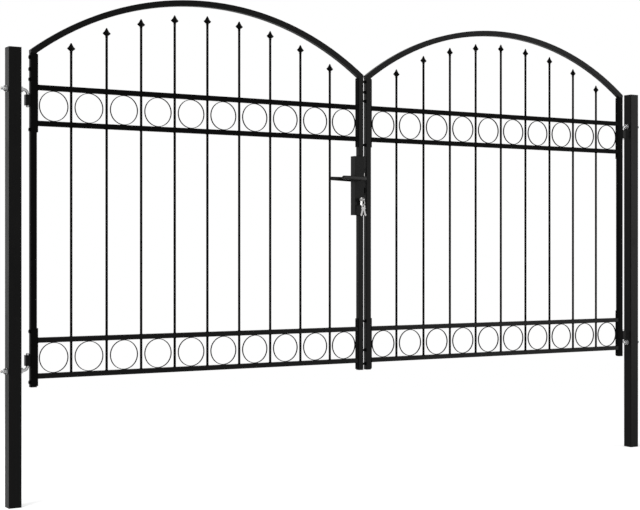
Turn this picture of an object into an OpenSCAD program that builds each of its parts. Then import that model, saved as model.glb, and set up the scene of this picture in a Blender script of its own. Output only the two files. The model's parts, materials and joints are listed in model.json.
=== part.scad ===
// Arched double gate: two swinging leaves of welded square tube, hung on hook bolts between two posts.
// Frame: X runs along the gate, -Y is the front, Z is up. The origin is level with the posts' feet,
// midway between the posts and in the middle of the leaves' thickness.

/* [Opening and posts] */
// Width of one leaf across the outer faces of its stiles
leaf_w = 1511; // [1400:1:1560]
// Gap between the two shut leaves
meeting_gap = 16; // [15:0.5:18]
// Gap between a post and the leaf beside it
hinge_gap = 41; // [40:0.5:55]
// Width and depth of a square post
post_size = 50; // [46:1:70]
// Wall of a post
post_wall = 2; // [1.6:0.1:3]
// Radius of a post's corners
post_corner_r = 3; // [2.2:0.1:4]
// Height of a post's tube above the arches' outer corners
post_rise = 1; // [-40:1:150]
// Thickness of a post cap's top
cap_t = 3; // [2:0.5:6]
// Depth of the plug under a post cap
cap_plug_h = 18; // [10:1:30]
// Wall of the plug under a post cap
cap_plug_wall = 2; // [1.5:0.1:3]

/* [Leaf frame] */
// Height of the leaves' lower ends above the posts' feet
leaf_bottom = 455; // [440:1:470]
// Height of a leaf's straight sides, from its lower end to the arch's outer corners
leaf_side_h = 1291; // [1160:1:1400]
// Rise of the arch above its outer corners
arch_rise = 253; // [235:1:280]
// Width and depth of a stile's square tube
stile_size = 24; // [22:0.5:25]
// Wall of a stile
stile_wall = 1.5; // [1.2:0.1:2]
// Height and depth of the arch's square tube
arch_size = 24; // [20:0.5:25]
// Height and depth of the rails' square tube
rail_size = 20; // [18:0.5:22]
// Wall of the rails and the arch
rail_wall = 1.5; // [1.2:0.1:2]
// Radius of the corners of the stiles, the rails and the arch
tube_corner_r = 2; // [1.6:0.1:2.5]
// Distance from the arch's outer corners down to the upper band of rings
upper_band_drop = 133; // [128:1:140]
// Distance from a leaf's lower end up to the lower band of rings
lower_band_rise = 29.5; // [26:0.5:34]
// Thickness of the flange on a stile's foot plug
foot_plug_t = 2; // [1:0.5:4]
// Height of a foot plug inside the stile
foot_plug_h = 8; // [6:0.5:9]

/* [Bars, rings and spear tips] */
// Diameter of a round bar
bar_d = 10; // [8:0.5:11]
// Number of bars in a leaf
bar_count = 9; // [5:1:11]
// Distance from a side plate to the middle of the first bar
end_bay = 137; // [132:0.5:142]
// Outer diameter of a ring, as far as the bars leave room for it
ring_d = 117.8; // [100:0.1:125]
// Clearance between a ring and the rails above and below it
ring_fit = 0.1; // [0.05:0.05:0.5]
// Thickness of a ring's strip
ring_t = 2.5; // [1.5:0.1:3]
// Width of a ring's strip, from front to back
ring_depth = 7; // [5:0.5:14]
// Height of a spear tip, neck and point
tip_h = 36; // [33:0.5:42]
// Width of a spear tip across its barbs
tip_w = 34; // [28:0.5:37]
// Height of a spear tip's neck
tip_neck_h = 4; // [2:0.5:7]
// Diameter of a spear tip's neck
tip_neck_d = 10.6; // [10:0.1:12]
// Distance from the arch's outer face down to the points of the spear tips
tip_drop = 59; // [50:1:75]

/* [Side plates and bolts] */
// Thickness of a side plate
plate_t = 5; // [4:0.5:5.5]
// Width of a side plate, from front to back
plate_w = 20; // [16:0.5:20]
// Length of an upper side plate below the upper band
upper_plate_below = 25; // [19:1:29]
// Gap between an upper side plate and the arch at the stile's top
upper_plate_gap = 3.5; // [1:0.5:6]
// Distance from a leaf's lower end up to a lower side plate
lower_plate_rise = 2; // [0:1:7]
// Length of a lower side plate
lower_plate_l = 222; // [216:1:232]
// Diameter of a panel bolt
bolt_d = 8; // [6:0.5:9]
// Width across the flats of a panel bolt's head
bolt_af = 13; // [11:0.5:14]
// Height of a panel bolt's head
bolt_head_h = 5; // [4:0.5:6]
// Clearance all round a panel bolt in its stile
bolt_fit = 0.2; // [0.1:0.05:0.4]

/* [Hinges] */
// Diameter of a hook bolt and of its pin
hook_d = 12; // [10:0.5:13]
// Radius of the bend in a hook bolt, on its centreline
hook_bend_r = 17; // [15:0.5:18]
// Distance from a leaf's lower end up to the lower hook bolts
lower_hook_rise = 63.5; // [55:0.5:70]
// Distance from the arch's outer corners down to the upper hook bolts
upper_hook_drop = 154; // [146:0.5:162]
// Width and depth of a hinge lug
lug_size = 20; // [19:0.5:22]
// Height of a hinge lug
lug_h = 41; // [35:0.5:45]
// Clearance between a hinge pin and its lug, all round
pin_fit = 0.08; // [0.02:0.01:0.1]
// Gap between a lower hook's bend and the lug that rests on it
lug_seat_gap = 0.3; // [0.2:0.1:0.5]
// Gap between an upper hook's bend and its lug
lug_top_gap = 2; // [0.5:0.5:5]
// Length of a hinge pin past its lug
pin_past_lug = 8; // [4:0.5:14]
// Width across the flats of a hook bolt's nut
hook_nut_af = 19; // [18:0.5:22]
// Height of a hook bolt's nut
hook_nut_h = 10; // [8:0.5:11]
// Outer diameter of a hook bolt's washer
washer_d = 24; // [20:0.5:28]
// Thickness of a hook bolt's washer
washer_t = 2.5; // [1.5:0.1:3]
// Length of a hook bolt past its outer nut
hook_past_nut = 12; // [6:1:30]
// Clearance all round a hook bolt in its post
hook_hole_fit = 0.3; // [0.2:0.05:0.6]

/* [Lock case] */
// Width of the lock case
case_w = 48; // [46:0.5:52]
// Depth of the lock case, from front to back
case_d = 34; // [30:0.5:38]
// Height of the lock case
case_h = 258; // [245:1:280]
// Distance from the levers' axis down to the lock case's lower end
case_below_lever = 159; // [154:1:168]
// Wall of the lock case
case_wall = 2; // [1.5:0.1:2.5]
// Distance of the lever and key axes from the lock case's meeting face
backset = 22; // [22:0.5:23]
// Distance from the upper band down to the levers' axis
lever_drop = 165; // [150:0.5:400]
// Distance from the lever's axis down to the key's axis
key_drop = 92; // [90:0.5:96]
// Thickness of the lock body, from front to back
body_d = 15; // [14:0.5:18]
// Height of the lock body
body_h = 180; // [176:1:184]
// Distance from the lever's axis down to the lock body's lower end
body_below_lever = 120; // [118:0.5:124]
// Wall of the lock body
body_wall = 1.2; // [1:0.1:1.4]
// Thickness of the faceplate and depth that it stands out of the case
faceplate_t = 3; // [2.5:0.1:3.5]
// Width of the faceplate, from front to back
faceplate_w = 22; // [20:0.5:26]
// Height of the faceplate
faceplate_h = 216; // [210:1:224]
// Length of a faceplate screw
face_screw_l = 9; // [7:0.5:12]
// Diameter of a lock screw
lock_screw_d = 4.8; // [4:0.1:5]

/* [Levers] */
// Length of a lever from its axis to its tip
lever_l = 113; // [90:1:130]
// Radius of a lever at its axis
lever_hub_r = 10; // [9:0.5:11]
// Radius of a lever's rounded tip
lever_tip_r = 8; // [5:0.5:9]
// Thickness of a lever, from front to back
lever_t = 10; // [8:0.5:12]
// Distance of a lever's outer face from the lock case
lever_out = 41; // [36:1:48]
// Diameter of a lever's neck
lever_neck_d = 17; // [14:0.5:18]
// Width of the square spindle
spindle_w = 8; // [7:0.5:8]
// Length of the spindle inside a lever
spindle_grip = 16; // [10:1:30]
// Clearance all round the spindle
spindle_fit = 0.05; // [0.03:0.01:0.1]
// Diameter of the follower's disc
follower_d = 20; // [18:0.5:21]
// Diameter of the follower's journals
journal_d = 14; // [13.5:0.5:15]
// Gap between the follower's disc and the lock body's sides
follower_gap = 0.3; // [0.2:0.1:0.6]
// Clearance all round a journal
journal_fit = 0.06; // [0.02:0.01:0.1]
// Length of the follower's arm from its axis to its rounded end's centre
arm_l = 17; // [17:0.1:17.2]
// Radius of the rounded end of the follower's arm
arm_r = 2.5; // [2:0.1:2.6]

/* [Latch and dead bolt] */
// Height of the latch's head
latch_head_h = 16; // [14:0.5:18]
// Thickness of the latch and the dead bolt, from front to back
bolt_head_t = 10; // [8:0.5:11]
// Travel of the latch
latch_travel = 11; // [9:0.5:11]
// Gap between the drawn latch and the strike plate
latch_clear = 2; // [1:0.5:3]
// Length of the latch's head behind the faceplate
latch_head_l = 8; // [6:0.5:9]
// Gap between the follower's arm and the latch's hook
latch_gap = 0.3; // [0.3:0.05:0.4]
// Outer diameter of the latch's spring
spring_d = 8; // [6:0.5:9]
// Diameter of the spring's wire
spring_wire_d = 1; // [0.8:0.1:1.2]
// Number of turns of the spring
spring_turns = 8; // [6:1:10]
// Height of the dead bolt
dead_bolt_h = 24; // [20:0.5:26]
// Length of the dead bolt that stays behind the faceplate's outer face when it is thrown
dead_bolt_stay = 16; // [14:0.5:17]
// Distance from the key's axis up to the dead bolt's middle
dead_bolt_rise = 42; // [40:0.5:44]
// Travel of the dead bolt over two turns of the key
dead_bolt_travel = 25; // [20:0.5:25]
// Clearance all round the latch and the dead bolt
bolt_slot_fit = 0.4; // [0.3:0.05:0.6]

/* [Cylinder, keys and strike] */
// Length of the lock cylinder
cylinder_l = 60; // [54:1:62]
// Diameter of the cylinder's round part
cylinder_d = 17; // [16:0.5:18]
// Height of the cylinder's whole profile
cylinder_profile_h = 33; // [31:0.5:34]
// Width of the cylinder's lower part
cylinder_web_w = 10; // [9:0.5:11]
// Width of the gap that the cam turns in
cam_gap = 10; // [9:0.5:11]
// Reach of the cam's tooth from the key's axis
cam_reach = 14.5; // [13:0.5:15]
// Height of the cylinder's screw above the cylinder's lower end
cylinder_screw_rise = 5; // [4:0.5:5.5]
// Diameter of the plug that the key turns
plug_d = 12; // [11:0.5:13]
// Clearance all round the plug and the cylinder
plug_fit = 0.05; // [0.02:0.01:0.1]
// Thickness of a key
key_t = 2.2; // [1.8:0.1:2.6]
// Width of a key's bow
bow_w = 16; // [14:0.5:17]
// Length of a key's bow
bow_l = 20; // [18:0.5:21]
// Width of a key's blade
blade_w = 7.5; // [6:0.5:8]
// Length of a key's blade
blade_l = 30; // [24:0.5:31]
// Gap between the cylinder's face and the shoulder of the key in it
key_stop_gap = 1; // [0.3:0.1:2]
// Diameter of the hole in a key's bow
bow_hole_d = 7; // [6:0.5:8]
// Width of metal between that hole and the bow's end
bow_hole_rim = 2.5; // [2:0.1:3.5]
// Diameter of the wire of the key ring
ring_wire_d = 1.8; // [1.4:0.1:2.4]
// Radius of the key ring, on its wire's centreline
key_ring_r = 12; // [10:0.5:12.5]
// Gap between the key ring's wire and the rim of the hole that it hangs in
ring_seat_gap = 0.3; // [0.2:0.1:0.5]
// Angle between the two spare keys
key_splay = 26; // [20:1:34]
// Turn of the key ring against the key in the lock, and of the spare keys against the ring
bunch_turn = 30; // [0:1:30]
// Thickness of the strike plate
strike_t = 2; // [1.5:0.1:2.5]
// Height of the strike plate
strike_h = 130; // [124:1:136]
// Width of the strike plate, from front to back
strike_w = 20; // [18:0.5:21]
// Clearance all round the latch and the dead bolt in the strike plate
strike_fit = 0.8; // [0.6:0.1:1.5]

/* [Hidden] */
$fn = 48;

black = "#2b2c2b";
zinc = "#c9ccce";
nickel = "#d8d6cf";

// Places along the gate, measured from the middle of the opening
leaf_in = meeting_gap / 2;
leaf_out = leaf_in + leaf_w;
post_in = leaf_out + hinge_gap;
post_x = post_in + post_size / 2;
post_out = post_in + post_size;
hinge_x = leaf_out + lug_size / 2;

// The stiles: the tubes' centres and the faces that the panels fit between
hinge_stile_x = leaf_out - stile_size / 2;
lock_stile_x = leaf_in + stile_size / 2;
panel_out = leaf_out - stile_size;
panel_in = leaf_in + stile_size;
leaf_x = (leaf_out + leaf_in) / 2;
rail_l = panel_out - panel_in - 2 * plate_t;

// The arch is one circle's arc through its two outer corners and its peak
arch_r = (pow(leaf_w / 2, 2) + pow(arch_rise, 2)) / (2 * arch_rise);
shoulder_h = leaf_bottom + leaf_side_h;
arch_z = shoulder_h + arch_rise - arch_r;
arch_in_r = arch_r - arch_size;
stile_top = arch_z + sqrt(pow(arch_in_r, 2) - pow(leaf_w / 2 - stile_size, 2));

post_h = shoulder_h + post_rise;

// The bars stand at an even pitch about the leaf's middle, and their tips follow the arch
bar_pitch = (rail_l - 2 * end_bay) / (bar_count - 1);
bar_xs = [for (i = [0 : bar_count - 1]) (i - (bar_count - 1) / 2) * bar_pitch];
function tip_z(x) = arch_z + sqrt(pow(arch_r - tip_drop, 2) - x * x);
bar_fit = 0.1;
bar_hole_d = bar_d + 2 * bar_fit;

// The rings stand midway between two bars, and the end ones between a side plate and a bar
bay_edges = concat([-rail_l / 2 - bar_d / 2], bar_xs, [rail_l / 2 + bar_d / 2]);
ring_xs = [for (i = [0 : bar_count]) (bay_edges[i] + bay_edges[i + 1]) / 2];
ring_room = min(end_bay - bar_d / 2, bar_pitch - bar_d) - 1;
ring_od = min(ring_d, ring_room);

// The two bands: each is a row of rings between two rails
band_h = ring_od + 2 * ring_fit + 2 * rail_size;
upper_band_h = shoulder_h - upper_band_drop - band_h;
lower_band_h = leaf_bottom + lower_band_rise;
bar_bottom = lower_band_h + rail_wall;

// The side plates reach past the bands, and the panel bolts are screwed into them
upper_plate_h = upper_band_h - upper_plate_below;
upper_plate_l = stile_top - upper_plate_gap - upper_plate_h;
lower_plate_h = leaf_bottom + lower_plate_rise;
upper_plate_top = upper_plate_h + upper_plate_l;
lower_plate_top = lower_plate_h + lower_plate_l;
upper_bolt_zs = [upper_plate_h + 10, upper_plate_top - 98, upper_plate_top - 59, upper_plate_top - 13];
lower_hinge_bolt_zs = [lower_plate_h + 15, lower_plate_top - 12];
lower_lock_bolt_zs = [lower_plate_h + 22, lower_plate_h + 82, lower_plate_top - 12];
hinge_bolt_zs = concat(lower_hinge_bolt_zs, upper_bolt_zs);
lock_bolt_zs = concat(lower_lock_bolt_zs, upper_bolt_zs);
bolt_hole_d = bolt_d + 2 * bolt_fit;
bolt_thread_d = bolt_d + 0.1;
bolt_l = stile_size + plate_t;

// Hinges: the lower lug rests on its hook's bend, and the upper hook's pin points down
lower_hook_h = leaf_bottom + lower_hook_rise;
upper_hook_h = shoulder_h - upper_hook_drop;
lower_lug_z = lower_hook_h + hook_bend_r + lug_seat_gap;
upper_lug_z = upper_hook_h - hook_bend_r - lug_top_gap - lug_h;
hook_end_x = post_out + washer_t + hook_nut_h + hook_past_nut;
hook_hole_d = hook_d + 2 * hook_hole_fit;
nut_bore_d = hook_d + 0.1;

// Lock: it sits in the left leaf, where X is negative
face_x = -leaf_in;
case_x = face_x - case_w;
lever_h = upper_band_h - lever_drop;
case_bottom = lever_h - case_below_lever;
case_top = case_bottom + case_h;
axis_x = face_x - backset;
key_z = lever_h - key_drop;
body_bottom = lever_h - body_below_lever;
body_back_x = case_x + case_wall + 0.3;
face_out_x = face_x + faceplate_t;
faceplate_z = body_bottom + body_h / 2;
mortise_w = body_d + 1;
mortise_h = body_h + 2;
face_screw_rise = (faceplate_h + mortise_h) / 4;
face_screw_zs = [faceplate_z - face_screw_rise, faceplate_z + face_screw_rise];
screw_head_d = 8;
screw_head_t = 1.6;
cylinder_screw_z = key_z - cylinder_profile_h + cylinder_d / 2 + cylinder_screw_rise;

// The latch's hook is pulled by the follower's arm
latch_tip_x = leaf_in - strike_t - latch_clear + latch_travel;
arm_top_z = lever_h + arm_l + arm_r;
latch_bottom_z = lever_h + 10;
latch_tail_z = arm_top_z + 1;
latch_top_z = latch_bottom_z + latch_head_h;
latch_hook_x = axis_x - arm_r - latch_gap;
latch_hook_t = 3;
latch_tail_d = 6;
dead_bolt_z = key_z + dead_bolt_rise;
dead_bolt_x = face_out_x - 1;
dead_bolt_back_x = face_out_x - dead_bolt_stay - dead_bolt_travel;

// The latch's spring lies above its head, between a lug on the head and the lock body's back wall
spring_x = body_back_x + body_wall + 0.1;
spring_z = latch_top_z + spring_d / 2 + 1;
lug_back_x = face_x - latch_head_l - 2;
spring_l = lug_back_x - 0.1 - spring_x;

// Keys: the bow's hole lies on the key's axis, where the key ring hangs
lever_face_y = case_d / 2 + lever_out;
shoulder_y = cylinder_l / 2 + key_stop_gap;
bow_hole_back = bow_l - bow_hole_d / 2 - bow_hole_rim;
bow_hole_y = shoulder_y + bow_hole_back;
// The wire crosses each hole at the bunch's turn, which leaves it less room
wire_room = bow_hole_d / 2 - ring_wire_d / 2 / cos(bunch_turn) - ring_seat_gap;
wire_drop = sqrt(pow(wire_room, 2) - pow(key_t / 2 * tan(bunch_turn), 2));
key_ring_z = key_z - wire_drop - key_ring_r;
spare_wire_z = key_ring_z - key_ring_r;

// Strike plate on the right leaf
strike_x = leaf_in - strike_t;
strike_z = (lever_h + latch_head_h / 2 + 10 + dead_bolt_z) / 2;
strike_screw_rise = strike_h / 2 - 9;
strike_screw_zs = [strike_z - strike_screw_rise, strike_z + strike_screw_rise];

// Shared shapes

// A square with round corners, centred
module rounded_square(size, r) {
  square([size - 2 * r, size], center = true);
  square([size, size - 2 * r], center = true);
  for (x = [-1, 1], y = [-1, 1])
    translate([x, y] * (size / 2 - r)) circle(r);
}

// The section of a square tube
module tube_section(size, wall, r) {
  difference() {
    rounded_square(size, r);
    square(size - 2 * wall, center = true);
  }
}

// A square tube standing on z
module upright_tube(x, z, h, size, wall, r) {
  translate([x, 0, z]) linear_extrude(h) tube_section(size, wall, r);
}

// Mirrors what is drawn for the right leaf onto the left one
module for_side(side) {
  if (side < 0) mirror([1, 0, 0]) children();
  else children();
}

// A round hole or rod along X, centred on x
module rod_x(x, z, l, d) {
  translate([x - l / 2, 0, z]) rotate([0, 90, 0]) cylinder(d = d, h = l);
}

// A hexagon along X, centred on x, with corners up and down
module hexagon_x(x, z, l, af) {
  translate([x - l / 2, 0, z]) rotate([0, 90, 0]) cylinder(d = af / cos(30), h = l, $fn = 6);
}

// A box by its lowest and highest corners
module box(low, high) {
  translate(low) cube(high - low);
}

// Posts and hinges

module post(side) {
  color(black) for_side(side) difference() {
    upright_tube(post_x, 0, post_h, post_size, post_wall, post_corner_r);
    for (z = [lower_hook_h, upper_hook_h]) rod_x(post_x, z, post_size + 2, hook_hole_d);
  }
}

module post_caps() {
  inner = post_size - 2 * post_wall - 0.4;
  color(black) for (side = [-1, 1]) for_side(side) translate([post_x, 0, post_h]) {
    linear_extrude(cap_t) rounded_square(post_size, post_corner_r);
    translate([0, 0, -cap_plug_h]) linear_extrude(cap_plug_h)
      tube_section(inner, cap_plug_wall, 1);
  }
}

// A threaded rod bent square: the shank goes through the post and the pin points up or down
module hook_bolt(z, up) {
  pin_l = (up ? lug_seat_gap : lug_top_gap) + lug_h + pin_past_lug;
  translate([hinge_x, 0, z]) mirror([0, 0, up ? 1 : 0]) {
    translate([hook_bend_r, 0, 0]) rotate([0, 90, 0])
      cylinder(d = hook_d, h = hook_end_x - hinge_x - hook_bend_r);
    translate([hook_bend_r, 0, -hook_bend_r]) rotate([90, 0, 0]) rotate([0, 0, 90])
      rotate_extrude(angle = 90) translate([hook_bend_r, 0]) circle(d = hook_d);
    translate([0, 0, -hook_bend_r - pin_l]) cylinder(d = hook_d, h = pin_l);
  }
}

module hook_bolts(side) {
  color(zinc) for_side(side) {
    hook_bolt(lower_hook_h, true);
    hook_bolt(upper_hook_h, false);
  }
}

// Each hook bolt has a nut on either side of its post
module hook_nuts() {
  color(zinc) for (side = [-1, 1]) for_side(side) for (z = [lower_hook_h, upper_hook_h])
    for (x = [post_in - washer_t - hook_nut_h / 2, post_out + washer_t + hook_nut_h / 2])
      difference() {
        hexagon_x(x, z, hook_nut_h, hook_nut_af);
        rod_x(x, z, hook_nut_h + 2, nut_bore_d);
      }
}

module hook_washers() {
  color(zinc) for (side = [-1, 1]) for_side(side) for (z = [lower_hook_h, upper_hook_h])
    for (x = [post_in - washer_t / 2, post_out + washer_t / 2])
      difference() {
        rod_x(x, z, washer_t, washer_d);
        rod_x(x, z, washer_t + 2, hook_hole_d);
      }
}

module hinge_lugs(side) {
  color(black) for_side(side) for (z = [lower_lug_z, upper_lug_z]) difference() {
    box([leaf_out, -lug_size / 2, z], [leaf_out + lug_size, lug_size / 2, z + lug_h]);
    translate([hinge_x, 0, z - 1]) cylinder(r = hook_d / 2 + pin_fit, h = lug_h + 2);
  }
}

// Leaf frame

module stile_bolt_holes(x, zs) {
  for (z = zs) rod_x(x, z, stile_size + 2, bolt_hole_d);
}

module hinge_stile(side) {
  color(black) for_side(side) difference() {
    upright_tube(hinge_stile_x, leaf_bottom, stile_top - leaf_bottom, stile_size, stile_wall,
                 tube_corner_r);
    stile_bolt_holes(hinge_stile_x, hinge_bolt_zs);
  }
}

// The lock case takes the place of a length of the left leaf's stile
module left_lock_stile() {
  color(black) for_side(-1) difference() {
    union() {
      upright_tube(lock_stile_x, leaf_bottom, case_bottom - leaf_bottom, stile_size, stile_wall,
                   tube_corner_r);
      upright_tube(lock_stile_x, case_top, stile_top - case_top, stile_size, stile_wall,
                   tube_corner_r);
    }
    stile_bolt_holes(lock_stile_x, lock_bolt_zs);
  }
}

// The right leaf's stile has slots for the latch and the dead bolt, and holes for the strike's screws
module right_lock_stile() {
  color(black) difference() {
    upright_tube(lock_stile_x, leaf_bottom, stile_top - leaf_bottom, stile_size, stile_wall,
                 tube_corner_r);
    stile_bolt_holes(lock_stile_x, lock_bolt_zs);
    strike_slots(leaf_in - 1, leaf_in + stile_wall + 1);
    for (z = strike_screw_zs) rod_x(leaf_in, z, 2 * stile_wall + 2, lock_screw_d + 0.1);
  }
}

// A bent tube on the stiles' tops, whose hollow ends a wall's thickness before each end
module arch(side) {
  color(black) for_side(side) intersection() {
    translate([leaf_x, 0, arch_z]) rotate([90, 0, 0]) difference() {
      rotate_extrude($fn = 180) translate([arch_r - arch_size / 2, 0])
        rounded_square(arch_size, tube_corner_r);
      intersection() {
        rotate_extrude($fn = 180) translate([arch_r - arch_size / 2, 0])
          square(arch_size - 2 * rail_wall, center = true);
        cube([leaf_w - 2 * rail_wall, 3 * arch_r, arch_size], center = true);
      }
    }
    box([leaf_in, -arch_size, stile_top], [leaf_out, arch_size, arch_z + arch_r + 1]);
  }
}

// A rail between the side plates, with holes for the bars through its top and, if wanted, its bottom
module rail(side, z, through) {
  hole_bottom = through ? z - 1 : z + rail_size / 2;
  color(black) for_side(side) difference() {
    translate([leaf_x - rail_l / 2, 0, z + rail_size / 2]) rotate([0, 90, 0])
      linear_extrude(rail_l) tube_section(rail_size, rail_wall, tube_corner_r);
    for (x = bar_xs) translate([leaf_x + x, 0, hole_bottom])
      cylinder(d = bar_hole_d, h = z + rail_size + 1 - hole_bottom);
  }
}

module bars(side) {
  color(black) for_side(side) for (x = bar_xs)
    translate([leaf_x + x, 0, bar_bottom]) cylinder(d = bar_d, h = tip_z(x) - tip_h - bar_bottom);
}

// A spear tip from its foot up: a round neck, then four sides that widen to the barbs and end in a point
module spear_tip() {
  rim = tip_w / 2;
  barb_z = tip_neck_h + 11;
  point_h = tip_h - barb_z;
  cylinder(d = tip_neck_d, h = tip_neck_h + 1);
  rotate_extrude($fn = 4) polygon([
    [0, tip_neck_h], [tip_neck_d * 0.715, tip_neck_h], [rim * 0.79, tip_neck_h + 5],
    [rim, tip_neck_h + 9.5], [rim * 0.98, barb_z], [rim * 0.74, barb_z + point_h * 0.17],
    [rim * 0.56, barb_z + point_h * 0.33], [rim * 0.42, barb_z + point_h * 0.52],
    [rim * 0.3, barb_z + point_h * 0.71], [rim * 0.18, barb_z + point_h * 0.88],
    [0.6, tip_h], [0, tip_h]
  ]);
}

module spear_tips(side) {
  color(black) for_side(side) for (x = bar_xs)
    translate([leaf_x + x, 0, tip_z(x) - tip_h]) spear_tip();
}

// A row of rings that stand on edge between two rails
module rings(side, band_z) {
  color(black) for_side(side) for (x = ring_xs)
    translate([leaf_x + x, 0, band_z + band_h / 2]) rotate([90, 0, 0]) difference() {
      cylinder(d = ring_od, h = ring_depth, center = true, $fn = 96);
      cylinder(d = ring_od - 2 * ring_t, h = ring_depth + 2, center = true, $fn = 96);
    }
}

// The two flat plates at the ends of a panel, against the stiles, with tapped holes
module side_plates(side, z, l, hinge_zs, lock_zs) {
  color(black) for_side(side) difference() {
    for (x = [panel_in, panel_out - plate_t])
      box([x, -plate_w / 2, z], [x + plate_t, plate_w / 2, z + l]);
    for (h = hinge_zs) rod_x(panel_out - plate_t / 2, h, plate_t + 2, bolt_thread_d);
    for (h = lock_zs) rod_x(panel_in + plate_t / 2, h, plate_t + 2, bolt_thread_d);
  }
}

module upper_side_plates(side) {
  side_plates(side, upper_plate_h, upper_plate_l, upper_bolt_zs, upper_bolt_zs);
}

module lower_side_plates(side) {
  side_plates(side, lower_plate_h, lower_plate_l, lower_hinge_bolt_zs, lower_lock_bolt_zs);
}

// A panel bolt: its head lies on the stile's outer face at x, and it runs in the direction dir
// through the stile and ends level with the side plate
module panel_bolt(x, z, dir) {
  hexagon_x(x - dir * bolt_head_h / 2, z, bolt_head_h, bolt_af);
  rod_x(x + dir * bolt_l / 2, z, bolt_l, bolt_d);
}

module panel_bolts(side) {
  color(black) for_side(side) {
    for (z = hinge_bolt_zs) panel_bolt(leaf_out, z, -1);
    for (z = lock_bolt_zs) panel_bolt(leaf_in, z, 1);
  }
}

// Plugs in the open lower ends of the stiles
module foot_plugs(side) {
  inner = stile_size - 2 * stile_wall - 0.2;
  color(black) for_side(side) for (x = [lock_stile_x, hinge_stile_x])
    translate([x, 0, leaf_bottom]) {
      translate([0, 0, -foot_plug_t]) linear_extrude(foot_plug_t)
        rounded_square(stile_size, tube_corner_r);
      linear_extrude(foot_plug_h) rounded_square(inner, 1);
    }
}

// Strike plate

// Slots for the latch and the dead bolt, from x low to x high
module strike_slots(low_x, high_x) {
  half_t = bolt_head_t / 2 + strike_fit;
  half_h = dead_bolt_h / 2 + strike_fit;
  box([low_x, -half_t, latch_bottom_z - strike_fit], [high_x, half_t, latch_top_z + strike_fit]);
  box([low_x, -half_t, dead_bolt_z - half_h], [high_x, half_t, dead_bolt_z + half_h]);
}

module strike_plate() {
  color(black) difference() {
    box([strike_x, -strike_w / 2, strike_z - strike_h / 2],
        [leaf_in, strike_w / 2, strike_z + strike_h / 2]);
    strike_slots(strike_x - 1, leaf_in + 1);
    for (z = strike_screw_zs) {
      rod_x(strike_x, z, 2 * strike_t + 2, lock_screw_d + 0.1);
      rod_x(strike_x - 1 + (screw_head_t + 0.05) / 2, z, 2 + screw_head_t + 0.05,
            screw_head_d + 0.1);
    }
  }
}

// A lock screw with a flat head, set into a face at x and running in the direction dir
module lock_screw(x, z, l, dir) {
  rod_x(x + dir * screw_head_t / 2, z, screw_head_t, screw_head_d);
  rod_x(x + dir * l / 2, z, l, lock_screw_d);
}

module strike_screws() {
  color(zinc) for (z = strike_screw_zs) lock_screw(strike_x, z, face_screw_l, 1);
}

// Lock case and the lock inside it

// The cylinder's profile, from the key's axis down, grown by a clearance
module cylinder_profile(fit) {
  circle(d = cylinder_d + 2 * fit);
  translate([-cylinder_web_w / 2 - fit, -(cylinder_profile_h - cylinder_d / 2) - fit])
    square([cylinder_web_w + 2 * fit, cylinder_profile_h - cylinder_d / 2]);
}

// The cylinder's profile carried through from front to back
module cylinder_cut(fit, depth) {
  translate([axis_x, depth / 2, key_z]) rotate([90, 0, 0]) linear_extrude(depth)
    cylinder_profile(fit);
}

module lock_case() {
  color(black) difference() {
    box([case_x, -case_d / 2, case_bottom], [face_x, case_d / 2, case_top]);
    box([case_x + case_wall, -case_d / 2 + case_wall, case_bottom + case_wall],
        [face_x - case_wall, case_d / 2 - case_wall, case_top - case_wall]);
    box([face_x - case_wall - 1, -mortise_w / 2, faceplate_z - mortise_h / 2],
        [face_x + 1, mortise_w / 2, faceplate_z + mortise_h / 2]);
    translate([axis_x, 0, lever_h]) rotate([90, 0, 0])
      cylinder(d = lever_neck_d - 4, h = case_d + 2, center = true);
    cylinder_cut(0.3, case_d + 2);
    for (z = face_screw_zs) rod_x(face_x, z, 2 * case_wall + 2, lock_screw_d + 0.1);
  }
}

// The lock body is a thin box, open towards the faceplate
module lock_body() {
  inner_d = body_d - 2 * body_wall;
  top_z = body_bottom + body_h;
  color(zinc) difference() {
    box([body_back_x, -body_d / 2, body_bottom], [face_x, body_d / 2, top_z]);
    box([body_back_x + body_wall, -inner_d / 2, body_bottom + body_wall],
        [face_x + 1, inner_d / 2, top_z - body_wall]);
    translate([axis_x, 0, lever_h]) rotate([90, 0, 0])
      cylinder(r = journal_d / 2 + journal_fit, h = body_d + 2, center = true);
    cylinder_cut(0.2, body_d + 2);
  }
}

// Slots for the latch and the dead bolt in the faceplate
module faceplate_slots() {
  half_t = bolt_head_t / 2 + bolt_slot_fit;
  half_h = dead_bolt_h / 2 + bolt_slot_fit;
  box([face_x - 1, -half_t, latch_bottom_z - bolt_slot_fit],
      [face_out_x + 1, half_t, latch_top_z + bolt_slot_fit]);
  box([face_x - 1, -half_t, dead_bolt_z - half_h], [face_out_x + 1, half_t, dead_bolt_z + half_h]);
}

module lock_faceplate() {
  sink = screw_head_t + 0.05;
  color(zinc) difference() {
    box([face_x, -faceplate_w / 2, faceplate_z - faceplate_h / 2],
        [face_out_x, faceplate_w / 2, faceplate_z + faceplate_h / 2]);
    faceplate_slots();
    for (z = concat(face_screw_zs, [cylinder_screw_z])) {
      rod_x(face_x, z, 2 * faceplate_t + 2, lock_screw_d + 0.1);
      rod_x(face_out_x + 1 - sink / 2, z, 2 + sink, screw_head_d + 0.1);
    }
  }
}

module faceplate_screws() {
  color(zinc) for (z = face_screw_zs) lock_screw(face_out_x, z, face_screw_l, -1);
}

// The long screw that holds the cylinder
module cylinder_screw() {
  color(zinc) lock_screw(face_out_x, cylinder_screw_z, face_out_x - axis_x + 3, -1);
}

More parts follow.
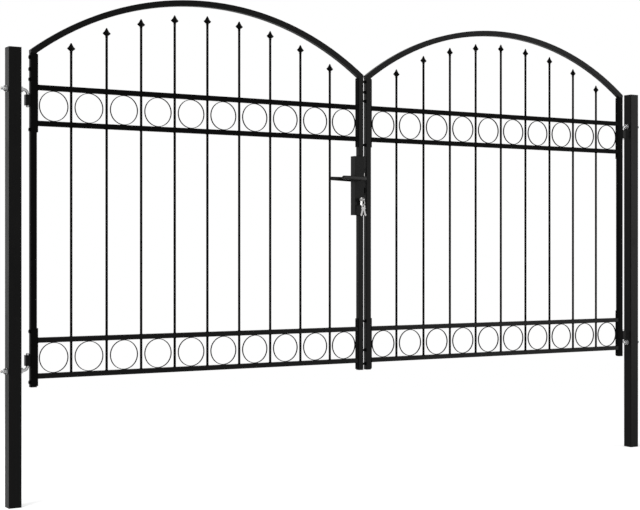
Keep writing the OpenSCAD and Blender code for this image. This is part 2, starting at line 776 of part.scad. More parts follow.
module lock_cylinder() {
  web_top = key_z - cam_reach - 0.5;
  color(nickel) difference() {
    cylinder_cut(0, cylinder_l);
    translate([axis_x, 0, key_z]) rotate([90, 0, 0])
      cylinder(r = plug_d / 2 + plug_fit, h = cylinder_l + 2, center = true);
    box([axis_x - cylinder_d, -cam_gap / 2, web_top], [axis_x + cylinder_d, cam_gap / 2, key_z + 20]);
    rod_x(axis_x, cylinder_screw_z, cylinder_d, lock_screw_d + 0.1);
  }
}

// Levers and follower

// The outline of a lever: a straight top edge, and a lower edge that rises towards the tip
module lever_outline() {
  tip_x = -(lever_l - lever_tip_r);
  tip_y = lever_hub_r - lever_tip_r;
  // The lower edge touches both circles
  run = sqrt(pow(tip_x, 2) + pow(tip_y, 2));
  lean = atan2(tip_y, -tip_x) + asin((lever_hub_r - lever_tip_r) / run);
  foot = [-sin(lean), -cos(lean)];
  circle(lever_hub_r);
  translate([tip_x, tip_y]) circle(lever_tip_r);
  // The straight edges lie just inside both circles, so that they cross them cleanly
  tuck = 0.05;
  polygon([[0, lever_hub_r - tuck], [tip_x, lever_hub_r - tuck],
           [tip_x, tip_y] + foot * (lever_tip_r - tuck), foot * (lever_hub_r - tuck)]);
}

// The front lever; the back one is its mirror
module lever_shape() {
  socket = spindle_w + 2 * spindle_fit;
  neck_y = case_d / 2 + 0.3;
  translate([axis_x, 0, lever_h]) difference() {
    union() {
      translate([0, -lever_face_y + lever_t, 0]) rotate([90, 0, 0]) linear_extrude(lever_t)
        lever_outline();
      translate([0, -neck_y, 0]) rotate([90, 0, 0])
        cylinder(d = lever_neck_d, h = lever_face_y - lever_t / 2 - neck_y);
    }
    translate([0, -neck_y - spindle_grip / 2 + 0.5, 0])
      cube([socket, spindle_grip + 1, socket], center = true);
  }
}

module front_lever() {
  color(black) lever_shape();
}

module back_lever() {
  color(black) mirror([0, 1, 0]) lever_shape();
}

module lever_spindle() {
  half_l = case_d / 2 + 0.3 + spindle_grip - 0.3;
  color(zinc) translate([axis_x, 0, lever_h])
    cube([spindle_w, 2 * half_l, spindle_w], center = true);
}

// The follower: a disc with an arm, between two journals that turn in the lock body
module lever_follower() {
  disc_t = body_d - 2 * body_wall - 2 * follower_gap;
  color(zinc) translate([axis_x, 0, lever_h]) rotate([90, 0, 0]) difference() {
    union() {
      cylinder(d = follower_d, h = disc_t, center = true);
      cylinder(d = journal_d, h = body_d, center = true);
      translate([-arm_r, 0, -3]) cube([2 * arm_r, arm_l, 6]);
      translate([0, arm_l, 0]) cylinder(r = arm_r, h = 6, center = true);
    }
    cube([spindle_w + 2 * spindle_fit, spindle_w + 2 * spindle_fit, body_d + 2], center = true);
  }
}

// Latch, dead bolt, cylinder plug and keys

// The latch: a head with a bevelled back and a lug for the spring, and a hook that the arm pulls
module latch_bolt() {
  half_t = bolt_head_t / 2;
  head_x = face_x - latch_head_l;
  bevel = bolt_head_t - 3;
  color(zinc) difference() {
    union() {
      box([head_x, -half_t, latch_bottom_z], [latch_tip_x, half_t, latch_top_z]);
      box([lug_back_x, -half_t, latch_tail_z], [head_x + 1, half_t, spring_z + spring_d / 2]);
      box([latch_hook_x - latch_hook_t, -latch_tail_d / 2, latch_tail_z],
          [head_x, latch_tail_d / 2, latch_top_z]);
      box([latch_hook_x - latch_hook_t, -latch_tail_d / 2, latch_bottom_z + 1],
          [latch_hook_x, latch_tail_d / 2, latch_top_z]);
    }
    translate([latch_tip_x, half_t, latch_bottom_z - 1]) linear_extrude(latch_head_h + 2)
      polygon([[1, 1], [-bevel, 1], [-bevel, 0], [0, -bevel], [1, -bevel]]);
  }
}

// A coil spring along X: one unbroken wire on a helix, whose turns touch nowhere
module latch_spring() {
  sides = 6;
  steps = 12;
  count = spring_turns * steps;
  mean_r = (spring_d - spring_wire_d) / 2;
  wire_r = spring_wire_d / 2;
  pitch = (spring_l - spring_wire_d) / spring_turns;
  assert(pitch > spring_wire_d + 0.4, "the spring's turns touch");
  points = [for (i = [0 : count], j = [0 : sides - 1])
    let (turn = 360 * i / steps, around = 360 * j / sides, r = mean_r + wire_r * cos(around))
      [wire_r + pitch * i / steps + wire_r * sin(around), r * cos(turn), r * sin(turn)]];
  walls = [for (i = [0 : count - 1], j = [0 : sides - 1])
    let (a = i * sides + j, b = i * sides + (j + 1) % sides)
      each [[a, a + sides, b], [b, a + sides, b + sides]]];
  ends = [for (j = [1 : sides - 2]) each [
    [0, j, j + 1],
    [count * sides, count * sides + j + 1, count * sides + j]
  ]];
  color(zinc) translate([spring_x, 0, spring_z])
    polyhedron(points = points, faces = concat(walls, ends));
}

// The dead bolt, drawn back as it is while the key hangs in the lock, with a tail down to the cam
module dead_bolt() {
  half_t = bolt_head_t / 2;
  bottom_z = dead_bolt_z - dead_bolt_h / 2;
  tail_z = key_z + cam_reach + 0.5;
  color(zinc) {
    box([dead_bolt_back_x, -half_t, bottom_z], [dead_bolt_x, half_t, bottom_z + dead_bolt_h]);
    box([dead_bolt_back_x, -half_t + 2, tail_z], [dead_bolt_back_x + 8, half_t - 2, bottom_z + 1]);
  }
}

// The plug that the key turns, with the cam at the middle of the cylinder
module cylinder_plug() {
  cam_t = cam_gap - 0.6;
  slot_w = key_t + 0.2;
  color(nickel) translate([axis_x, 0, key_z]) rotate([90, 0, 0]) difference() {
    union() {
      translate([0, 0, -cam_gap / 2]) cylinder(d = plug_d, h = cam_gap / 2 + cylinder_l / 2);
      translate([0, 0, -cam_t / 2]) cylinder(d = plug_d + 2, h = cam_t);
      translate([-3, 0, -cam_t / 2]) cube([6, cam_reach - 1.5, cam_t]);
      translate([0, cam_reach - 3, -cam_t / 2]) cylinder(r = 3, h = cam_t);
    }
    translate([-slot_w / 2, -blade_w / 2 - 0.1, shoulder_y - blade_l - 1])
      cube([slot_w, blade_w + 0.2, blade_l + 2]);
  }
}

// A flat key in the YZ plane: its blade points to +Y, and its shoulder is at y = 0
module key_shape() {
  rotate([90, 0, 90]) translate([0, 0, -key_t / 2]) linear_extrude(key_t) difference() {
    union() {
      translate([-bow_l + bow_w / 2, 0]) circle(d = bow_w);
      translate([-bow_l + bow_w / 2, -bow_w * 0.42]) square([bow_l - bow_w / 2, bow_w * 0.84]);
      translate([-0.5, -blade_w / 2]) square([blade_l - 2, blade_w]);
      translate([blade_l - 2.5, -blade_w / 4]) square([2.5, blade_w / 2]);
    }
    translate([-bow_hole_back, 0]) circle(d = bow_hole_d);
    for (i = [0 : 3]) translate([7 + 4.5 * i, -blade_w / 2]) circle(d = 2.4);
  }
}

module door_key() {
  color(nickel) translate([axis_x, -shoulder_y, key_z]) key_shape();
}

// The ring hangs in the hole of the key that is in the lock
module key_ring() {
  color(nickel) translate([axis_x, -bow_hole_y, key_ring_z]) rotate([90, 0, bunch_turn])
    rotate_extrude() translate([key_ring_r, 0]) circle(d = ring_wire_d, $fn = 16);
}

// Two spare keys hang beside each other on the ring's lowest stretch, blades down and splayed
module spare_keys() {
  apart = (key_t / 2 + 0.4) / cos(bunch_turn);
  color(nickel) translate([axis_x, -bow_hole_y, spare_wire_z]) rotate([0, 0, bunch_turn])
    for (dir = [-1, 1]) translate([dir * apart, 0, 0])
      rotate([0, 0, bunch_turn]) rotate([dir * key_splay / 2, 0, 0]) rotate([-90, 0, 0])
        translate([0, bow_hole_back + wire_drop, 0]) key_shape();
}

post(-1);  // left_post
post(1);  // right_post
post_caps();
hook_bolts(-1);  // left_hook_bolts
hook_bolts(1);  // right_hook_bolts
hook_nuts();
hook_washers();

hinge_stile(-1);  // left_hinge_stile
left_lock_stile();
arch(-1);  // left_arch
rail(-1, upper_band_h + band_h - rail_size, true);  // left_upper_top_rail
rail(-1, upper_band_h, true);  // left_upper_bottom_rail
rail(-1, lower_band_h + band_h - rail_size, true);  // left_lower_top_rail
rail(-1, lower_band_h, false);  // left_lower_bottom_rail
bars(-1);  // left_bars
spear_tips(-1);  // left_spear_tips
rings(-1, upper_band_h);  // left_upper_rings
rings(-1, lower_band_h);  // left_lower_rings
upper_side_plates(-1);  // left_upper_side_plates
lower_side_plates(-1);  // left_lower_side_plates
panel_bolts(-1);  // left_panel_bolts
foot_plugs(-1);  // left_foot_plugs
hinge_lugs(-1);  // left_hinge_lugs

hinge_stile(1);  // right_hinge_stile
right_lock_stile();
arch(1);  // right_arch
rail(1, upper_band_h + band_h - rail_size, true);  // right_upper_top_rail
rail(1, upper_band_h, true);  // right_upper_bottom_rail
rail(1, lower_band_h + band_h - rail_size, true);  // right_lower_top_rail
rail(1, lower_band_h, false);  // right_lower_bottom_rail
bars(1);  // right_bars
spear_tips(1);  // right_spear_tips
rings(1, upper_band_h);  // right_upper_rings
rings(1, lower_band_h);  // right_lower_rings
upper_side_plates(1);  // right_upper_side_plates
lower_side_plates(1);  // right_lower_side_plates
panel_bolts(1);  // right_panel_bolts
foot_plugs(1);  // right_foot_plugs
hinge_lugs(1);  // right_hinge_lugs
strike_plate();
strike_screws();

lock_case();
lock_body();
lock_faceplate();
faceplate_screws();
cylinder_screw();
lock_cylinder();
front_lever();
back_lever();
lever_spindle();
lever_follower();
latch_bolt();
latch_spring();
dead_bolt();
cylinder_plug();
door_key();
key_ring();
spare_keys();
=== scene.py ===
"""Looks for the arched double gate: powder-coated tube, zinc-plated hook bolts and a lever lock with
its keys.

Lengths in this file are millimetres until a mesh is made, except in the stage, light and camera, which
are in metres. Angles are radians.
"""
import json
import math

import bmesh
import bpy
import numpy as np
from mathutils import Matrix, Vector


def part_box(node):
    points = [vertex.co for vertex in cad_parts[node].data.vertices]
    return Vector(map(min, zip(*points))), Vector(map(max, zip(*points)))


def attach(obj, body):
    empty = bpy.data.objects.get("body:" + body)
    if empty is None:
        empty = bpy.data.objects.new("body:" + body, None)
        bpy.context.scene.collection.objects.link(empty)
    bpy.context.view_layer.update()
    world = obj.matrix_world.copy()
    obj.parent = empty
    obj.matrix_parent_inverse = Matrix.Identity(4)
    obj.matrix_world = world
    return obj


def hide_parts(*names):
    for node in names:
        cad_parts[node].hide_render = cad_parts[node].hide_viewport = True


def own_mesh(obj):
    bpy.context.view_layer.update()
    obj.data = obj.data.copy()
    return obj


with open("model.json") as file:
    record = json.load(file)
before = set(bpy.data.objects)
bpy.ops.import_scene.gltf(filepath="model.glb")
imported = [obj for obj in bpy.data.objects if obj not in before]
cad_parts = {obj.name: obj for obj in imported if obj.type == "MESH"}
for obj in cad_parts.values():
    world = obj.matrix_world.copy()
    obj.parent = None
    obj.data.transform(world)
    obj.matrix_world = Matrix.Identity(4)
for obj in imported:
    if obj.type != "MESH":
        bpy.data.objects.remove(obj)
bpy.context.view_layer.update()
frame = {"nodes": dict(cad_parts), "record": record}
NODES = frame["nodes"]
MM = 0.001

# The gate's sizes, as the source has them, on the side where X is positive
LEAF_IN, LEAF_OUT, LEAF_X = 8.0, 1519.0, 763.5      # a leaf's two ends and its middle
PLATE_IN, PLATE_OUT = 37.0, 1490.0                  # the side plates' faces, where the rails end
POST_IN, POST_OUT, HINGE_X = 1560.0, 1610.0, 1529.0
STILE, PITCH = 24.0, 147.375
BAR_XS = (np.arange(9) - 4) * PITCH
RING_XS = np.concatenate([[-660.5], (np.arange(8) - 3.5) * PITCH, [660.5]])
RING_ZS = {"lower": 563.5, "upper": 1534.0}
RAIL_ZS = [484.5, 622.5, 1455.0, 1593.0]            # the rails' lower faces
RING_R, RING_T, RING_DEPTH = 58.9, 2.5, 7.0
RAIL, BAR_R = 20.0, 5.0
ARCH_R, ARCH_Z = 1254.54, 744.46                    # the arch's outer face and its centre's height
LOWER_HOOK, UPPER_HOOK, HOOK_R, HOOK_BEND = 518.5, 1592.0, 6.0, 17.0
LOWER_PIN, UPPER_PIN = 49.3, 51.0                   # from a hook's bend to its pin's end
NUT_H, NUT_FLATS, WASHER_R, WASHER_T, HOOK_PAST_NUT = 10.0, 19.0, 12.0, 2.5, 12.0
LOWER_LUG, UPPER_LUG, LUG_H, LUG = 535.8, 1532.0, 41.0, 20.0
BOLT_FLATS, BOLT_HEAD, BOLT_R, BOLT_L, BOLT_PLAIN = 13.0, 5.0, 4.0, 29.0, 19.0
AXIS_X, LEVER_Z = -30.0, 1290.0                     # the levers' axis, on the left leaf
BUNCH_TURN = math.radians(30)
CASE_BOTTOM, CASE_TOP, CASE_DEPTH = 1131.0, 1389.0, 34.0

# ---------------------------------------------------------------- shader maths


class Value:
    """A socket that can be used in Python expressions: each operator adds one Math node."""

    def __init__(self, tree, socket):
        self.tree, self.socket = tree, socket

    def _math(self, operation, *values):
        return self.tree.add("ShaderNodeMath", {"operation": operation}, dict(enumerate(values))).out(0)

    def __add__(self, other):
        return self._math("ADD", self, other)

    def __rsub__(self, other):
        return self._math("SUBTRACT", other, self)

    def __mul__(self, other):
        return self._math("MULTIPLY", self, other)

    __radd__, __rmul__ = __add__, __mul__

    def highest(self, other):
        return self._math("MAXIMUM", self, other)

    def step(self, low, high):
        """0 below low, 1 above high, and smooth between them."""
        return self.tree.add("ShaderNodeMapRange", {"interpolation_type": "SMOOTHSTEP"},
                             {0: self, 1: low, 2: high, 3: 0.0, 4: 1.0}).out(0)


class Node:
    """One shader node with its outputs as values."""

    def __init__(self, tree, node):
        self.tree, self.node = tree, node

    def out(self, name):
        return Value(self.tree, self.node.outputs[name])


class Tree:
    """A material's or world's node tree, filled through one method."""

    def __init__(self, owner):
        self.owner = owner
        owner.use_nodes = True
        self.nodes, self.links = owner.node_tree.nodes, owner.node_tree.links
        self.nodes.clear()

    def add(self, kind, settings=None, inputs=None):
        """Adds a node: its settings first, then the values or links of its sockets."""
        node = self.nodes.new(kind)
        for key, value in (settings or {}).items():
            setattr(node, key, value)
        for key, value in (inputs or {}).items():
            if isinstance(value, Value):
                self.links.new(value.socket, node.inputs[key])
            elif value is not None:
                node.inputs[key].default_value = value
        return Node(self, node)

    def place(self, scale=(1.0, 1.0, 1.0)):
        """The point on the object, in metres, with each axis multiplied by scale."""
        point = self.add("ShaderNodeTexCoord").out("Object")
        return self.add("ShaderNodeMapping", None, {"Vector": point, "Scale": scale}).out(0)

    def noise(self, scale, detail=2.0, roughness=0.5, stretch=(1.0, 1.0, 1.0)):
        return self.add("ShaderNodeTexNoise", None, {
            "Vector": self.place(stretch), "Scale": scale,
            "Detail": detail, "Roughness": roughness}).out(0)

    def specks(self, scale, size):
        """1 in small round specks with scale of them to a metre, and 0 elsewhere."""
        cells = self.add("ShaderNodeTexVoronoi", None, {"Vector": self.place(), "Scale": scale})
        return 1 - cells.out("Distance").step(size * 0.6, size)

    def mix(self, factor, a, b):
        """A colour between a and b."""
        return self.add("ShaderNodeMix", {"data_type": "RGBA"}, {0: factor, 6: a, 7: b}).out(2)

    def bump(self, height, distance, strength=1.0, normal=None):
        return self.add("ShaderNodeBump", None, {
            "Height": height, "Distance": distance, "Strength": strength, "Normal": normal}).out(0)

    def surface(self, **sockets):
        """Ends the tree in one Principled shader with these sockets."""
        inputs = {name.replace("_", " "): value for name, value in sockets.items()}
        shader = self.add("ShaderNodeBsdfPrincipled", None, inputs)
        self.add("ShaderNodeOutputMaterial", None, {"Surface": shader.out(0)})
        return self.owner

    def seen_directly(self):
        """1 for rays from the camera, in reflections and through glass, and 0 for all others."""
        path = self.add("ShaderNodeLightPath")
        seen = path.out("Is Camera Ray").highest(path.out("Is Glossy Ray"))
        return seen.highest(path.out("Is Transmission Ray"))


def grey(level, warmth=0.0):
    """A near-neutral colour: level in linear light, a little warmer or cooler by a share of it."""
    return (level * (1 + warmth), level, level * (1 - warmth), 1.0)


def powder_coat(name, depth, dullness, shine):
    """Satin black powder coat: orange peel a few millimetres across, faint clouding, dust and handling
    marks. A lower depth is a deeper black, dullness adds to the roughness, and shine is the level of
    the reflection."""
    t = Tree(bpy.data.materials.new(name))
    cloud = t.noise(7.0, 3.0)
    rubbed = t.noise(26.0, 4.0, 0.6, (1.0, 1.0, 0.35)).step(0.52, 0.75)
    dust = t.specks(420.0, 0.16) * t.noise(34.0, 3.0).step(0.45, 0.7)
    peel = t.noise(620.0, 2.0)
    coarse = t.noise(150.0, 2.0)
    base = t.mix(cloud, grey(0.0020 * depth, -0.02), grey(0.0036 * depth, 0.05))
    return t.surface(
        Base_Color=t.mix(dust * 0.35, base, grey(0.06 * depth, 0.05)),
        Roughness=0.33 + dullness + cloud * 0.07 + rubbed * 0.05 + dust * 0.2,
        Normal=t.bump(peel, 0.00005, 0.5, t.bump(coarse, 0.00012, 0.35)),
        Specular_IOR_Level=shine,
    )


def lever_lacquer():
    """Black lacquer on the levers: smoother than the powder coat, with rubbed hairlines on the grip."""
    t = Tree(bpy.data.materials.new("lever_lacquer"))
    cloud = t.noise(40.0, 3.0)
    hair = t.noise(700.0, 2.0, 0.5, (0.04, 1.0, 1.0))
    worn = hair.step(0.6, 0.72) * t.noise(55.0, 3.0).step(0.5, 0.66)
    base = t.mix(cloud, grey(0.0035, 0.05), grey(0.006, 0.08))
    return t.surface(
        Base_Color=t.mix(worn * 0.5, base, grey(0.035, 0.08)),
        Roughness=0.27 + cloud * 0.08 + worn * 0.15,
        Normal=t.bump(hair, 0.00003, 0.3, t.bump(t.noise(900.0), 0.00004, 0.4)),
        Specular_IOR_Level=0.13,
    )


def black_plastic():
    """Matt black moulded plastic with a fine spark-eroded grain."""
    t = Tree(bpy.data.materials.new("black_plastic"))
    grain = t.noise(1900.0, 3.0)
    flow = t.noise(60.0, 2.0, 0.5, (1.0, 0.2, 1.0))
    return t.surface(
        Base_Color=t.mix(flow, grey(0.006), grey(0.011)),
        Roughness=0.48 + grain * 0.14,
        Normal=t.bump(grain, 0.00009, 0.7),
        Specular_IOR_Level=0.25,
    )


def zinc_plate():
    """Bright zinc plate: pale grey metal with soft mottling, a fine grain and dull spots where it has
    aged."""
    t = Tree(bpy.data.materials.new("zinc_plate"))
    mottle = t.noise(140.0, 3.0)
    fine = t.noise(1500.0, 2.0)
    dull = t.noise(70.0, 4.0, 0.6).step(0.56, 0.72)
    bright = t.mix(mottle, grey(0.30, -0.04), grey(0.44, 0.02))
    return t.surface(
        Base_Color=t.mix(dull * 0.5, bright, grey(0.20, 0.03)),
        Roughness=0.27 + mottle * 0.12 + dull * 0.16,
        Metallic=1.0,
        Normal=t.bump(fine, 0.00003, 0.5),
    )


def satin_steel():
    """Plain lock steel, brushed along Z, with a faint oil stain."""
    t = Tree(bpy.data.materials.new("satin_steel"))
    brushed = t.noise(1100.0, 2.0, 0.5, (1.0, 1.0, 0.05))
    stain = t.noise(45.0, 3.0).step(0.5, 0.75)
    base = t.mix(brushed, grey(0.20, 0.01), grey(0.28, 0.02))
    return t.surface(
        Base_Color=t.mix(stain * 0.4, base, grey(0.13, 0.06)),
        Roughness=0.3 + brushed * 0.14 + stain * 0.05,
        Metallic=1.0,
        Normal=t.bump(brushed, 0.00003, 0.6),
    )


def nickel_plate():
    """Nickel plate on brass: bright, with fine scratches from the pocket and the other keys."""
    t = Tree(bpy.data.materials.new("nickel_plate"))
    wear = t.noise(260.0, 3.0)
    scratch = t.noise(900.0, 2.0, 0.5, (1.0, 0.06, 0.3)).step(0.6, 0.7)
    return t.surface(
        Base_Color=t.mix(wear, grey(0.44, 0.01), grey(0.58, 0.01)),
        Roughness=0.17 + wear * 0.12 + scratch * 0.16,
        Metallic=1.0,
        Normal=t.bump(scratch, 0.00003, 0.6),
    )


LOOKS = {
    "black_paint": powder_coat("black_powder_coat", 1.0, 0.0, 0.06),
    # A darker, duller copy of the black powder coat: painted shade on the leaves' panel pieces, not a
    # different finish
    "shaded_panel_paint": powder_coat("shaded_panel_powder_coat", 0.5, 0.16, 0.022),
    "lever_paint": lever_lacquer(),
    "black_plastic": black_plastic(),
    "zinc": zinc_plate(),
    "lock_steel": satin_steel(),
    "nickel": nickel_plate(),
}
RECORD = frame["record"]
SLOTS = {part["node"]: part["material_slot"] for part in RECORD["subparts"]}
BODIES = {node: body for body, members in RECORD["behaviour"]["bodies"].items() for node in members}
# Leaf pieces that get the darker copy of the powder coat, which paints the shade that falls on them
SHADED_PANEL_WORDS = ("upper_top_rail", "upper_bottom_rail", "bars", "tips", "rings", "hinge_stile",
               "side_plates", "leaf_welds", "bolts")


def look_of(name, slot):
    """A slot's finish. The upper rails, bars, tips, rings, hinge stiles, side plates, welds and bolts
    of the leaves get a darker, duller copy of the black powder coat, which is painted shade; the posts,
    the lock stiles, the arches and the lower rails keep the plain coat, and the strike's screws are as
    black as its plate."""
    if name == "strike_screws":
        return LOOKS["black_paint"]
    panel = slot == "black_paint" and any(word in name for word in SHADED_PANEL_WORDS)
    return LOOKS["shaded_panel_paint" if panel else slot]


for name, node in NODES.items():
    node.data.materials.clear()
    node.data.materials.append(look_of(name, SLOTS[name]))

# ---------------------------------------------------------------- shapes


class Shape:
    """Closed solids: points, four-sided faces, and flat end caps with any number of corners."""

    def __init__(self, points, quads, caps):
        self.points, self.quads, self.caps = points, quads, caps

    def moved(self, *place):
        return Shape(self.points + np.array(place), self.quads, self.caps)

    def axes(self, order):
        """Renames the axes cyclically, which turns the shape without a mirror: zxy lays z along X."""
        return Shape(self.points[:, ["xyz".index(a) for a in order]], self.quads, self.caps)

    def flipped(self, axis):
        """The mirror image across an axis's zero plane, with its faces turned outwards again."""
        sign = np.where(np.arange(3) == axis, -1.0, 1.0)
        return Shape(self.points * sign, self.quads[:, ::-1], [cap[::-1] for cap in self.caps])

    def turned(self, angle):
        """The shape turned about z: (x cos a - y sin a, x sin a + y cos a, z)."""
        c, s = math.cos(angle), math.sin(angle)
        turn = np.array([[c, s, 0.0], [-s, c, 0.0], [0.0, 0.0, 1.0]])
        return Shape(self.points @ turn, self.quads, self.caps)

    def repeated(self, places):
        return joined([self.moved(*place) for place in places])


def joined(shapes):
    """Several shapes as one."""
    starts = np.cumsum([0] + [len(s.points) for s in shapes])
    return Shape(np.vstack([s.points for s in shapes]),
                 np.vstack([s.quads + k for s, k in zip(shapes, starts)]),
                 [cap + k for s, k in zip(shapes, starts) for cap in s.caps])


def circle_angles(count):
    """count equal steps round a circle, from 0 and without its end."""
    return np.linspace(0, math.tau, count, endpoint=False)


def loft(sections, closed=False):
    """Skins sections[row, column]: each row is a closed outline, anticlockwise seen from the last row.
    The rows are joined end to end if closed, and otherwise the first and the last are capped flat."""
    rows, columns = sections.shape[:2]
    index = np.arange(rows * columns).reshape(rows, columns)
    if closed:
        index = np.vstack([index, index[:1]])
    beside = np.roll(index, -1, axis=1)
    quads = np.stack([index[:-1], beside[:-1], beside[1:], index[1:]], axis=-1).reshape(-1, 4)
    caps = [] if closed else [index[0, ::-1], index[-1]]
    return Shape(sections.reshape(-1, 3), quads, caps)


def round_z(r, angle, z, closed=False):
    """A loft about z: x = r cos a, y = r sin a, with r and z by row, or by row and column."""
    z = z + 0 * angle
    return loft(np.stack([r * np.cos(angle), r * np.sin(angle), z], axis=-1), closed)


def lathe(profile, columns, closed=False, reach=1.0):
    """Turns (radius, height) pairs about z. reach multiplies the radius, by column."""
    radius, height = np.array(profile, float).T[..., None]
    return round_z(radius * reach, circle_angles(columns), height, closed)


def swept(path, sideways, section):
    """Carries section[row, column] of (u, v) pairs along path[row]: each point is
    path + u * sideways + v * other, where other is the path's tangent crossed with sideways."""
    tangent = np.gradient(path, axis=0)
    tangent = tangent / np.linalg.norm(tangent, axis=1, keepdims=True)
    other = np.cross(tangent, sideways)
    u, v = section[..., 0:1], section[..., 1:2]
    return loft(path[:, None] + u * sideways[:, None] + v * other[:, None])


def add_piece(name, shape, body, slot, *nodes, sharp=40):
    """Puts a shape into the scene in metres: smooth where its faces meet at less than sharp degrees,
    riding on a body, with a slot's finish, and in the place of nodes."""
    mesh = bpy.data.meshes.new(name)
    faces = shape.quads.tolist() + [cap.tolist() for cap in shape.caps]
    mesh.from_pydata((shape.points * MM).tolist(), [], faces)
    return finish_piece(name, mesh, body, slot, nodes, sharp)


def finish_piece(name, mesh, body, slot, nodes, sharp):
    """Makes the object of a mesh that is in metres already."""
    mesh.shade_smooth()
    mesh.set_sharp_from_angle(angle=math.radians(sharp))
    mesh.materials.clear()
    mesh.materials.append(look_of(name, slot))
    piece = bpy.data.objects.new(name, mesh)
    bpy.context.scene.collection.objects.link(piece)
    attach(piece, body)
    if nodes:
        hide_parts(*nodes)
    return piece


def eased(node, width):
    """Puts a merged copy of a CAD node in its place, with its edges rounded over by this width."""
    work = bmesh.new()
    work.from_mesh(NODES[node].data)
    bmesh.ops.remove_doubles(work, verts=work.verts, dist=2e-6)
    bmesh.ops.dissolve_limit(work, angle_limit=math.radians(0.5),
                             verts=work.verts, edges=work.edges)
    mesh = bpy.data.meshes.new(node + "_eased")
    work.to_mesh(mesh)
    work.free()
    piece = finish_piece(node + "_eased", mesh, BODIES[node], SLOTS[node], (node,), 50)
    bevel = piece.modifiers.new("eased_edges", "BEVEL")
    bevel.width, bevel.segments = width * MM, 2
    bevel.limit_method, bevel.angle_limit = "ANGLE", math.radians(40)
    bevel.harden_normals = True


def both_sides(shape):
    """A shape of the right side, where X is positive, and its mirror image for the left one."""
    return {"right": shape, "left": shape.flipped(0)}


# ---------------------------------------------------------------- bolts, nuts and washers


def hexagon(flats, height, bore=0.0, columns=48):
    """A hexagon about z with cones turned on its ends: each side ends where a cone at 30 degrees, from
    0.95 of the flats' width on, cuts it. With a bore it is a nut, chamfered at both ends, and otherwise
    a bolt's head, solid and chamfered at its top alone."""
    step, angle = math.pi / 3, circle_angles(columns)
    reach = flats / 2 / np.cos((angle + step / 2) % step - step / 2)
    land = np.full(columns, flats / 2 * 0.95)
    drop = (reach - land) * math.tan(math.radians(30))
    top, flat = height / 2, np.zeros(columns)
    rows = [(reach, top - drop), (land, flat + top)]
    if bore:
        hole, mouth, inset = flat + bore, flat + bore * 1.09, 0.6
        rows = [(land, flat - top), (reach, drop - top)] + rows + [
            (mouth, flat + top), (hole, flat + top - inset),
            (hole, flat - top + inset), (mouth, flat - top)]
    else:
        rows = [(reach, flat - top)] + rows
    r, z = np.array(rows).transpose(1, 0, 2)
    return round_z(r, angle, z, closed=bore > 0)


def washer(outer, inner, thickness):
    """A flat ring about z with small rounds at its outer edges, and a punched edge inside."""
    t, e = thickness / 2, 0.45
    return lathe([(outer - e, -t), (outer - e * 0.3, -t + e * 0.3), (outer, -t + e), (outer, t - e),
                  (outer - e * 0.3, t - e * 0.3), (outer - e, t), (inner + 0.3, t), (inner, t - 0.3),
                  (inner, -t)], 40, closed=True)


def threaded_radius(along, angle, length, radius, pitch, thread_from, depth, fade, chamfer, slope):
    """A threaded rod's radius at along[row] and angle[column]: the rod's own less
    depth * pitch * |2 * frac(along / pitch - a / tau) - 1| ** 0.8, which comes in over fade from
    thread_from on, and no more than a chamfer of this length and slope leaves at the end."""
    along = along[:, None]
    turn = (along / pitch - angle / math.tau) % 1
    coming_in = np.clip((along - thread_from) / fade, 0, 1)
    thread = pitch * depth * np.abs(2 * turn - 1) ** 0.8 * coming_in
    end = np.clip(chamfer - (length - along), 0, chamfer) * slope
    return np.minimum(radius - thread, radius - end)


def even_rows(start, end, spacing):
    """Rows from start to end, about spacing apart."""
    count = int((end - start) / spacing)
    return start + (end - start) * np.arange(count + 1) / count


def hook_bolt(z, up, pin_l):
    """A threaded rod bent square: the axis runs up the pin, round a quarter circle and out along X. The
    thread starts a little past the bend, and the pin's end is domed. The pin points up if up is true,
    and down otherwise."""
    pitch, plain = 1.75, 6.0
    shank = POST_OUT + WASHER_T + NUT_H + HOOK_PAST_NUT - HINGE_X - HOOK_BEND
    quarter = np.linspace(0.15, math.pi / 2, 5)
    dome = HOOK_R * (1 - np.cos(quarter))
    pin = np.concatenate([-pin_l + dome * 0.35, [-pin_l + 4, 0]])
    bend = np.linspace(0, math.pi / 2, 13)[1:]
    out = even_rows(plain, shank, pitch / 5)
    x = np.concatenate([0 * pin, HOOK_BEND * (1 - np.cos(bend)), HOOK_BEND + out])
    h = np.concatenate([pin, HOOK_BEND * np.sin(bend), np.full(len(out), HOOK_BEND)])
    path = np.stack([x, 0 * x, h], axis=-1)
    along = np.concatenate([np.zeros(len(pin) + len(bend)), out])
    angle = circle_angles(20)
    r = threaded_radius(along, angle, shank, HOOK_R, pitch, plain,
                        depth=0.5, fade=4, chamfer=1.8, slope=0.6)
    r[:len(dome)] = HOOK_R * np.sin(quarter)[:, None]
    section = np.stack([r * np.cos(angle), r * np.sin(angle)], axis=-1)
    rod = swept(path, np.tile([0.0, 1.0, 0.0], (len(path), 1)), section)
    rod = rod.moved(HINGE_X, 0, -HOOK_BEND)
    return (rod.flipped(2) if up else rod).moved(0, 0, z)


def lying(shape):
    """A shape about z laid along X."""
    return shape.axes("zxy")


def panel_bolt(x, z, direction):
    """A hexagon bolt along X, its head on the stile's face and its thread in the side plate."""
    head = hexagon(BOLT_FLATS, BOLT_HEAD, columns=36).moved(0, 0, BOLT_HEAD / 2).flipped(2)
    pitch, angle = 1.25, circle_angles(14)
    along = np.concatenate([[0.0], even_rows(BOLT_PLAIN, BOLT_L, pitch / 4)])
    r = threaded_radius(along, angle, BOLT_L, BOLT_R, pitch, BOLT_PLAIN,
                        depth=0.55, fade=pitch, chamfer=1.6, slope=0.55)
    bolt = joined([lying(head), lying(round_z(r, angle, along[:, None]))])
    return (bolt if direction > 0 else bolt.flipped(0)).moved(x, 0, z)


def on_hooks(shape, from_post):
    """A shape about z laid on both of a post's hook bolts, at the post's two sides."""
    xs = [POST_IN - from_post, POST_OUT + from_post]
    return lying(shape).repeated([(x, 0, z) for x in xs for z in (LOWER_HOOK, UPPER_HOOK)])


